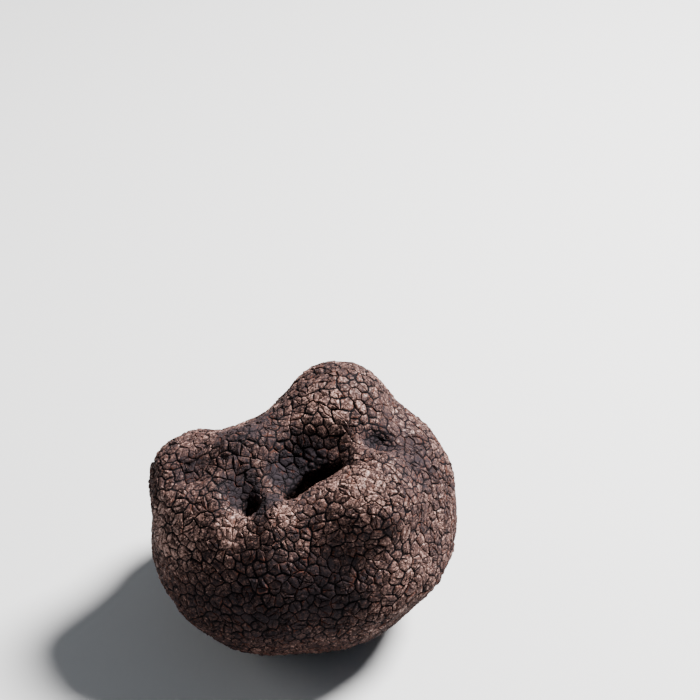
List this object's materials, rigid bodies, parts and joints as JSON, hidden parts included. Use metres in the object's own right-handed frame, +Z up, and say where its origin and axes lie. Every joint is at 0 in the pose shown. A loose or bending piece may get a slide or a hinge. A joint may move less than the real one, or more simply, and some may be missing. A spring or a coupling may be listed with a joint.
{
  "type": "black truffle",
  "caption": "Whole black truffle: a rounded, lobed tuber with a dark cleft and small pits on top, covered all over in low polygonal warts, resting on a small flat spot.",
  "frame": {"origin": "on the surface it rests on, under the middle of the truffle's bounding box", "axes": "+Z up; -Y towards the front, where the cleft shows; +X to the right of that front, along the longest side"},
  "size_m": [0.0556, 0.0496, 0.049],
  "materials": {
    "rind": "rough, matte, warty brown-black rind"
  },
  "bodies": {
    "root": {"truffle": "rind"}
  },
  "joints": []
}
